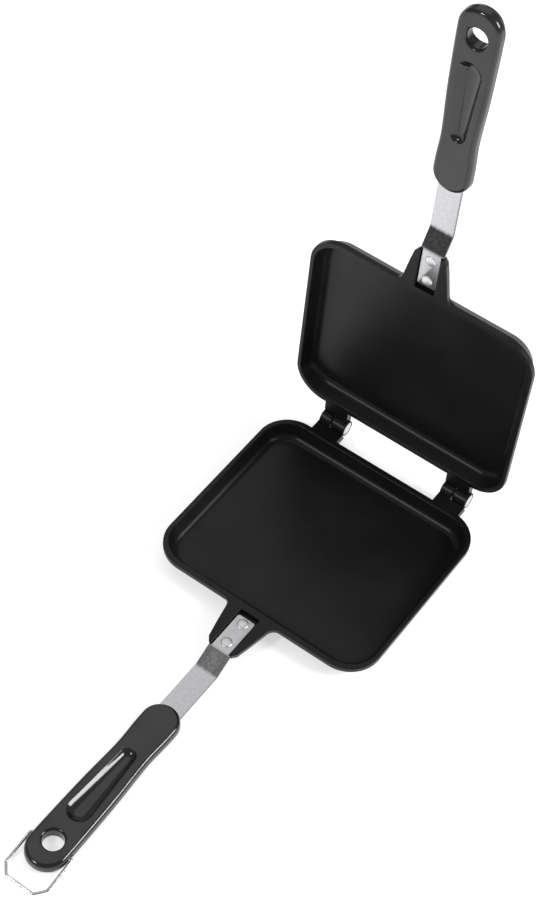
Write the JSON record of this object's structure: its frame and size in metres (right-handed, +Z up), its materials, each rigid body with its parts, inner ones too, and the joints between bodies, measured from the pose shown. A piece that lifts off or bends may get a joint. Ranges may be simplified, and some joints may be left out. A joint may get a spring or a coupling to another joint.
{
  "type": "double-sided omelette pan",
  "caption": "Hinged double pan: two shallow rounded pans fold together face to face, each with a strap and moulded handle; a wire loop latches the handles.",
  "frame": {"origin": "centre of the lower pan's flat underside, on the surface it stands on", "axes": "+X along the lower handle, away from the hinges; +Y along the hinge axis; +Z up, out of the open lower pan"},
  "size_m": [0.366, 0.148, 0.3511],
  "materials": {
    "pan_coating": "cast aluminium under a satin black non-stick coating",
    "strap_steel": "polished stainless steel strap",
    "rivet_metal": "bright aluminium rivet",
    "handle_resin": "glossy black moulded phenolic resin",
    "pin_steel": "bright turned steel",
    "wire_steel": "drawn stainless steel wire"
  },
  "bodies": {
    "lower_half": {"lower_pan": "pan_coating", "lower_strap": "strap_steel", "lower_rivet_inner": "rivet_metal", "lower_rivet_outer": "rivet_metal", "lower_handle": "handle_resin", "hinge_pin_left": "pin_steel", "hinge_pin_right": "pin_steel"},
    "upper_half": {"upper_pan": "pan_coating", "upper_strap": "strap_steel", "upper_rivet_inner": "rivet_metal", "upper_rivet_outer": "rivet_metal", "upper_handle": "handle_resin"},
    "latch": {"latch_wire": "wire_steel"}
  },
  "joints": [
    {"name": "lid_hinge", "type": "hinge", "parent": "lower_half", "child": "upper_half", "pos_m": [-0.0786, 0, 0.013], "axis": [0, 1, 0], "range_deg": [0, 90.6]},
    {"name": "latch_swing", "type": "hinge", "parent": "lower_half", "child": "latch", "pos_m": [0.2434, 0, 0.0045], "axis": [0, -1, 0], "range_deg": [-160, 129]}
  ]
}
